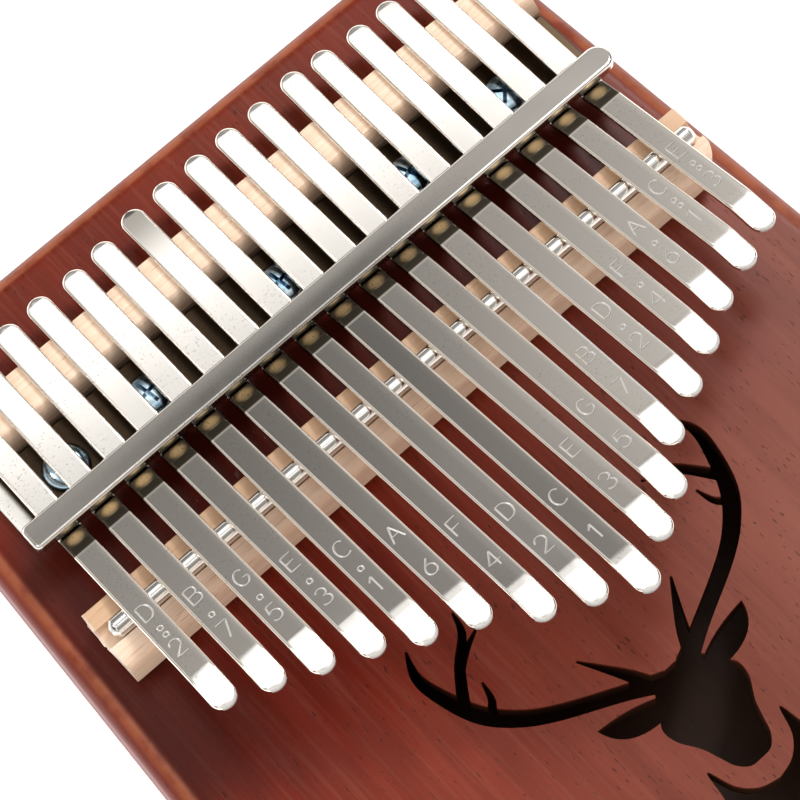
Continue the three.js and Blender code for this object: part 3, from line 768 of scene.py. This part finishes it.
def mahogany():
    """Lacquered red wood, its grain along the box: deep red at the left rear, with a painted pale sheen towards the
    front.
    """
    n = Nodes("mahogany")
    x, y, _ = n.split(n.coords)
    cloud = n.noise(n.stretched((28, 12, 28)), detail=3)
    band = n.noise(n.stretched((160, 7, 160)), detail=5, rough=0.6, distortion=0.3)
    fine = n.noise(n.stretched((1400, 60, 1400)), detail=3)
    _, sideways, upness = n.split(n.normal)
    on_end = n.ramp(n.absolute(sideways), 0.6, 0.8)
    band = n.mix(on_end, band, n.noise(n.stretched((7, 160, 160)), detail=5, rough=0.6, distortion=0.3))
    fine = n.mix(on_end, fine, n.noise(n.stretched((60, 1400, 1400)), detail=3))
    pores = n.noise(n.stretched((2600, 520, 2600)), detail=1)
    pore_mask = n.ramp(pores, 0.66, 0.74)
    # Painted sheen: the lacquer's pale reflection is painted in, stronger towards the front and right.
    reach = n.math("ADD", n.math("MULTIPLY", x, 5.0), n.math("MULTIPLY", y, -6.5))
    front = n.ramp(n.math("ADD", reach, n.math("MULTIPLY", cloud, 0.25)), -0.15, 0.75)
    deep = n.mix(n.ramp(cloud, 0.35, 0.65), *DEEP_RED)
    pale = n.mix(n.ramp(cloud, 0.3, 0.7), *PAINTED_SHEEN_RED)
    colour = n.mix(front, deep, pale)
    colour = n.mix(n.ramp(band, 0.4, 0.7, 0, 0.45), colour, BAND_BROWN)
    colour = n.mix(n.ramp(y, 0.062, 0.076, 0, 0.35), colour, REAR_BROWN)
    colour = n.mix(n.ramp(fine, 0.45, 0.75, 0, 0.3), colour, FINE_TAN)
    colour = n.mix(n.math("MULTIPLY", pore_mask, 0.6), colour, PORE_DARK)
    # Worn lacquer along the box's rounded edges, and a painted highlight on the sound hole's bevelled rims.
    wear_and_highlight = n.math("MULTIPLY", n.ramp(upness, 0.62, 0.85), n.ramp(upness, 0.985, 0.93))
    wear_noise = n.noise(n.stretched((180, 180, 180)), detail=4)
    wear_and_highlight = n.math("MULTIPLY", wear_and_highlight, n.ramp(wear_noise, 0.3, 0.6, 0.15, 0.8))
    colour = n.mix(wear_and_highlight, colour, EDGE_WEAR_AND_HIGHLIGHT)
    # Painted shadow and shade on the board.
    colour = n.mix(n.math("MULTIPLY", shaded_mask(n, x, y, upness), 0.72), colour, SHADE_RED)
    # Painted shade inside the box.
    colour = n.mix(n.math("MULTIPLY", inside_mask(n), 0.88), colour, INSIDE_SHADE)
    rough = n.ramp(cloud, 0.2, 0.8, 0.26, 0.4)
    height = n.math("SUBTRACT", n.math("MULTIPLY", fine, 0.3), pore_mask)
    return n.finish(Base_Color=colour, Roughness=rough, Normal=n.bump(height, 0.35, 0.05), Specular_IOR_Level=0.13)


def pale_wood(name, dark_front):
    """Straw-coloured wood; the rear strip has painted shade in front, the bridge is darker behind its rod."""
    n = Nodes(name)
    x, y, _ = n.split(n.coords)
    grain = n.noise(n.stretched((25, 1500, 900)), detail=4, rough=0.65)
    broad = n.noise(n.stretched((12, 160, 120)), detail=3)
    pores = n.ramp(n.noise(n.stretched((240, 2600, 2600)), detail=1), 0.64, 0.74)
    colour = n.mix(n.ramp(grain, 0.3, 0.7), *STRAW)
    colour = n.mix(n.ramp(broad, 0.35, 0.7, 0, 0.45), colour, STRAW_STREAK)
    colour = n.mix(n.math("MULTIPLY", pores, 0.35), colour, STRAW_PORE)
    if dark_front:
        # Painted shade on the rear strip's front slope, under the tines and the bar.
        edge = (BAR_REAR_Y + REST_REAR) * MM
        shade_in = n.ramp(n.math("ADD", y, n.math("MULTIPLY", broad, 0.0016)), edge - 0.0064, edge - 0.0096)
        colour = n.mix(n.math("MULTIPLY", shade_in, 0.85), colour, REST_DARK)
    else:
        behind = n.ramp(y, (BAR_REAR_Y - ROD_AHEAD) * MM, (BAR_REAR_Y - ROD_AHEAD + 2.5) * MM)
        colour = n.mix(n.math("MULTIPLY", behind, 0.6), colour, BRIDGE_DARK)
        end = n.ramp(x, (BRIDGE_ENDS[0] + 0.55) * MM, (BRIDGE_ENDS[0] + 0.1) * MM)
        colour = n.mix(n.math("MULTIPLY", end, 0.7), colour, BRIDGE_CUT)
    return n.finish(Base_Color=colour, Roughness=n.ramp(grain, 0.2, 0.8, 0.42, 0.6),
                    Normal=n.bump(grain, 0.3, 0.04), Specular_IOR_Level=0.35)


# Painted reflection brightness of each tine, listed below.
TINE_REFLECTION_LEVELS = [(0.0, 1.1), (0.125, 0.88), (0.25, 0.68), (0.375, 0.6), (0.4375, 0.64), (0.5, 0.5), (0.5625, 0.82),
              (0.6875, 1.04), (1.0, 1.1)]  # from the left tine, at 0, to the right one, at 1
DARK_REFLECTION_TINE, DARK_REFLECTION_GREY = -1.5, (0.36, 0.35, 0.33)  # the number at the middle of the tine whose tail has a painted darker reflection
# Painted highlight on the rims, painted dark and warm reflections on the pressed step:
RIM_HIGHLIGHT, STEP_DARK_REFLECTION, WARM_REFLECTION = (1.34, 1.31, 1.27), (0.10, 0.085, 0.06), (1.0, 0.80, 0.50)
REFLECTION_HALF_WIDTH, REFLECTION_AHEAD, REFLECTION_HALF_LENGTH = 1.7, 6.1, 1.25
GROOVE_GREY, PIT_DARK, PLATE_OUT_OF_SHADE = (0.60, 0.59, 0.57), (0.12, 0.1, 0.08), (0.8, 0.78, 0.74)
ZINC = (0.20, 0.36, 0.50), (0.50, 0.62, 0.70)


def tine_grid(n, x, y):
    """Distance ahead, the tine's number (the middle one fills 0 to 1) and the distance from the tine's middle."""
    ahead = n.math("SUBTRACT", BAR_REAR_Y, n.math("DIVIDE", y, MM))
    number = n.math("DIVIDE", n.math("SUBTRACT", n.math("DIVIDE", x, MM), SET_X - PITCH / 2), PITCH)
    across = n.math("MULTIPLY", n.math("SUBTRACT", n.math("FRACT", number), 0.5), PITCH)
    return ahead, number, across


def painted_tine_reflections(n, x, y):
    """Painted reflections as grey levels along the tines: a darker reflection at the bar, a dark and warm reflection on
    the pressed step, paler towards the tips, and painted highlights on the rims and the flat tips.
    """
    ahead, number, across = tine_grid(n, x, y)
    own = n.levels(n.math("DIVIDE", n.math("ADD", n.math("FLOOR", number), 8.0), 16.0), TINE_REFLECTION_LEVELS)
    rear = n.ramp(ahead, -20.0, 0.5, 1.0, 0.62)
    front = n.product(n.ramp(ahead, 8.0, 50.0, 0.85, 1.1), own, n.ramp(across, 0.7, 2.0, 1.0, 1.22))
    lean, _, upness = n.split(n.normal)
    # Painted highlight on the flat tips.
    front = n.math("MAXIMUM", front, n.ramp(upness, 0.984, 0.998))  # the flat tips are bright
    level = n.mix(n.ramp(ahead, 4.0, 8.5), n.grey(rear), n.grey(front))
    # Painted darker reflection on one tine's tail.
    from_dark_reflection = n.absolute(n.math("SUBTRACT", number, DARK_REFLECTION_TINE))
    level = n.mix(n.product(n.ramp(from_dark_reflection, 0.5, 0.49), n.ramp(ahead, -17.0, -29.5)), level, DARK_REFLECTION_GREY)
    # Painted highlights along the rims and across the crest.
    crest = n.product(n.ramp(ahead, 8.5, 8.75), n.ramp(ahead, 9.15, 8.9))
    rim = n.math("MAXIMUM", n.ramp(n.absolute(lean), 0.03, 0.14), n.math("MULTIPLY", crest, 0.7))
    level = n.mix(rim, level, RIM_HIGHLIGHT)
    # Painted dark reflection on the pressed step.
    step = n.product(n.ramp(ahead, 4.3, 4.8), n.ramp(ahead, 8.75, 8.5))
    level = n.mix(n.math("MULTIPLY", step, 0.96), level, STEP_DARK_REFLECTION)
    # Painted warm reflection on the pressed step.
    wide = n.math("DIVIDE", across, REFLECTION_HALF_WIDTH)
    deep = n.math("DIVIDE", n.math("SUBTRACT", ahead, REFLECTION_AHEAD), REFLECTION_HALF_LENGTH)
    away = n.math("ADD", n.math("MULTIPLY", wide, wide), n.math("MULTIPLY", deep, deep))
    return n.mix(n.product(step, n.ramp(away, 1.1, -0.1)), level, WARM_REFLECTION)


def engraved_mask(n, x, y):
    """1 on the walls of the engraved strokes, 0 on the flat metal around them."""
    ahead, _, across = tine_grid(n, x, y)
    slope = math.atan(FRONT_RISE)
    facing = n.add("ShaderNodeVectorMath", {0: n.normal, 1: (0, math.sin(slope), math.cos(slope))},
                   operation="DOT_PRODUCT").outputs["Value"]
    return n.product(n.ramp(facing, 0.985, 0.93), n.ramp(n.absolute(across), 1.55, 1.45), n.ramp(ahead, 14.0, 15.0))


def steel(name, base, rough, speck, brush_scale, kind=""):
    """Bright metal: soft clouds in the polish, fine brush lines and small pits. The kind adds what only the tines, the
    bar or the plate have."""
    n = Nodes(name)
    x, y, _ = n.split(n.coords)
    cloud = n.noise(n.stretched((90, 90, 90)), detail=3)
    brush = n.noise(n.stretched(brush_scale), detail=2)
    pits = n.ramp(n.noise(n.coords, 2600, 2, 0.5), 0.6, 0.7)
    patch = n.ramp(n.noise(n.coords, 60, 3), 0.42, 0.62)
    if kind == "bar":
        # On the bar, the pits and a painted darker reflection gather towards the front of its left and middle.
        forward = n.ramp(y, (BAR_REAR_Y + 0.4) * MM, (BAR_REAR_Y - 3.2) * MM)
        patch = n.product(forward, n.ramp(x, 0.040, 0.006), n.ramp(x, -0.052, -0.024, 0.3, 1.0),
                          n.ramp(cloud, 0.3, 0.6, 0.7, 1.0))
    pitted = n.product(pits, patch, speck)
    colour = n.mix(n.ramp(cloud, 0.3, 0.7, 0, 0.5), base, tuple(c * 0.9 for c in base))
    metallic = 1.0
    if kind == "bar":
        # Painted darker reflection on the bar's top, towards its front.
        colour = n.mix(n.math("MULTIPLY", patch, 0.9), colour, tuple(c * 0.36 for c in base))
    if kind == "plate":
        # The plate's dark base colour is painted shade under the tines; only its left end keeps a light steel colour.
        left = SET_X - PLATE_HALF
        colour = n.mix(n.ramp(x, (left + 3) * MM, (left + 2) * MM), colour, PLATE_OUT_OF_SHADE)
    if kind == "tine":
        # Painted reflections and highlights on the tines.
        colour = n.mix(1.0, colour, painted_tine_reflections(n, x, y), "MULTIPLY")
        groove = engraved_mask(n, x, y)
        colour = n.mix(groove, colour, GROOVE_GREY)
        metallic = n.math("SUBTRACT", 1.0, n.math("MULTIPLY", groove, 0.8))
    colour = n.mix(pitted, colour, PIT_DARK)
    roughness = n.math("ADD", n.ramp(cloud, 0.25, 0.75, rough * 0.8, rough * 1.25), n.math("MULTIPLY", pitted, 0.3))
    height = n.math("SUBTRACT", n.math("MULTIPLY", brush, 0.5), pitted)
    return n.finish(Base_Color=colour, Metallic=metallic, Roughness=roughness, Normal=n.bump(height, 0.12, 0.02))


def zinc():
    """Blue passivated zinc, for the screws and the hidden bolts."""
    n = Nodes("blue_zinc")
    cloud = n.noise(n.stretched((220, 220, 220)), detail=3)
    colour = n.mix(n.ramp(cloud, 0.35, 0.65), *ZINC)
    ring = n.noise(n.coords, 1500, 2)
    return n.finish(Base_Color=colour, Metallic=1.0, Roughness=n.ramp(cloud, 0.3, 0.7, 0.14, 0.26),
                    Normal=n.bump(ring, 0.12, 0.02))


# ---- stage --------------------------------------------------------------------------------------------------------
FLOOR_SIZE, FLOOR_DROP = 40.0, 0.05  # metres, millimetres
DOME_TINT = (1.0, 0.955, 0.905)
DOME = [(0.0, 1.1), (0.2, 1.0), (0.34, 0.16), (0.6, 0.36), (0.71, 0.42), (0.77, 0.28), (0.84, 0.36),
        (1.0, 0.75)]  # from the floor's horizon, at 0, to straight up, at 1
SIDES = [(0.0, 0.3), (0.15, 0.4), (0.25, 2.2), (0.4, 1.9), (0.48, 1.0), (0.56, 1.0), (0.66, 1.5), (0.75, 1.9),
         (0.84, 1.5), (0.9, 0.35), (1.0, 0.3)]  # from the left, at 0, to the right, at 1
PATCH_WAY, PATCH_EDGE, PATCH_COLOUR = (0.08, -0.93, 0.36), (0.95, 0.992), (1.3, 1.14, 0.96, 1)
LOW_SKY = (0.16, 0.26)  # below this the dome's sides are not darkened
SOFTBOXES = [("key", (0.22, 0.40, 1.05), (0.66, 0.52), 1.4), ("fill", (-0.95, -0.55, 0.75), (0.8, 0.6), 1.5),
             ("overhead", (0.02, -0.15, 1.1), (0.7, 0.3), 0.5), ("rear right", (0.68, 0.44, 1.08), (0.3, 0.36), 9.0),
             ("rear left", (-0.8, 0.32, 0.8), (0.4, 0.5), 2.5)]  # place and size in metres, power in watts
AIM_AT = (0.0, 0.02, 0.03)


def make_floor():
    n = Nodes("floor")
    faint = n.noise(n.coords, 3.0, 2)
    n.finish(Base_Color=n.mix(faint, (0.9, 0.9, 0.9), (0.94, 0.94, 0.94)), Roughness=0.9,
             Emission_Color=(1.0, 1.0, 1.0), Emission_Strength=0.6)
    half = FLOOR_SIZE / 2 / MM
    corners = [(-half, -half), (half, -half), (half, half), (-half, half)]
    floor = make_mesh("floor", [(x, y, -FLOOR_DROP) for x, y in corners], [(0, 1, 2, 3)])
    floor.data.materials.append(n.material)


def make_sky():
    """A dome with darker belts, dimmer far to the left and right, and one warm patch low on the player's side."""
    world = bpy.data.worlds.new("studio")
    bpy.context.scene.world = world
    world.use_nodes = True
    tree = world.node_tree

    def node(kind, *inputs, **settings):
        made = tree.nodes.new(kind)
        for key, value in settings.items():
            setattr(made, key, value)
        for socket, value in zip(made.inputs, inputs):
            if isinstance(value, bpy.types.NodeSocket):
                tree.links.new(value, socket)
            else:
                socket.default_value = value
        return made

    direction = node("ShaderNodeTexCoord").outputs["Generated"]
    x, _, z = node("ShaderNodeSeparateXYZ", direction).outputs

    def stops(value, pairs):
        made = node("ShaderNodeValToRGB", value)
        elements = made.color_ramp.elements
        while len(elements) < len(pairs):
            elements.new(0.5)
        for element, (at, level) in zip(elements, pairs):
            element.position, element.color = at, (*(level * tint for tint in DOME_TINT), 1)
        return made.outputs[0]

    dome = stops(z, DOME)
    sideways = node("ShaderNodeMapRange", x, -1.0, 1.0, 0.0, 1.0).outputs[0]
    side = stops(sideways, SIDES)
    lifted = node("ShaderNodeMapRange", z, *LOW_SKY, 0.0, 1.0, interpolation_type="SMOOTHSTEP").outputs[0]
    kept = node("ShaderNodeMath", 1.0, lifted, operation="SUBTRACT").outputs[0]
    share = node("ShaderNodeMath", side, kept, operation="MAXIMUM").outputs[0]
    near = node("ShaderNodeVectorMath", direction, PATCH_WAY, operation="DOT_PRODUCT").outputs["Value"]
    glow = node("ShaderNodeMapRange", near, *PATCH_EDGE, 0.0, 1.0, interpolation_type="SMOOTHSTEP").outputs[0]
    mixed = node("ShaderNodeMix", glow, data_type="RGBA")
    tree.links.new(dome, mixed.inputs[6])
    mixed.inputs[7].default_value = PATCH_COLOUR
    background = tree.nodes["Background"].inputs
    tree.links.new(mixed.outputs[2], background["Color"])
    tree.links.new(share, background["Strength"])


def add_softbox(name, at, size, power):
    data = bpy.data.lights.new(name, "AREA")
    data.shape = "RECTANGLE"
    data.size, data.size_y = size
    data.energy = power
    light = bpy.data.objects.new(name, data)
    bpy.context.scene.collection.objects.link(light)
    light.location = at
    aim = Vector(AIM_AT) - Vector(at)
    light.rotation_mode = "QUATERNION"
    light.rotation_quaternion = aim.to_track_quat("-Z", "Y")


# ---- everything together ------------------------------------------------------------------------------------------
bpy.context.scene.view_settings.view_transform = "Standard"
make_box(mahogany())
make_tines(steel("tine_steel", (0.75, 0.72, 0.68), 0.13, 0.35, (60, 1800, 600), "tine"))
make_bar(steel("bar_steel", (0.76, 0.73, 0.69), 0.2, 0.9, (60, 900, 600), "bar"))
make_rod(steel("rod_steel", (0.74, 0.73, 0.71), 0.12, 0.3, (1500, 60, 60)))
# The plate's near-black colour is painted shade under the tines.
make_plate(steel("plate_steel", (0.05, 0.033, 0.02), 0.35, 0.5, (60, 900, 600), "plate"))
make_bridge(pale_wood("bridge_wood", False))
make_rest(pale_wood("rest_wood", True))
zinc_finish = zinc()
for screw_index in range(len(SCREW_X)):
    make_screw(screw_index, zinc_finish)
for bolt_index in (1, 2, 3):
    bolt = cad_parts[f"bar_bolt_{bolt_index}"]
    bolt.data.materials.clear()
    bolt.data.materials.append(zinc_finish)
make_floor()
make_sky()
for softbox in SOFTBOXES:
    add_softbox(*softbox)
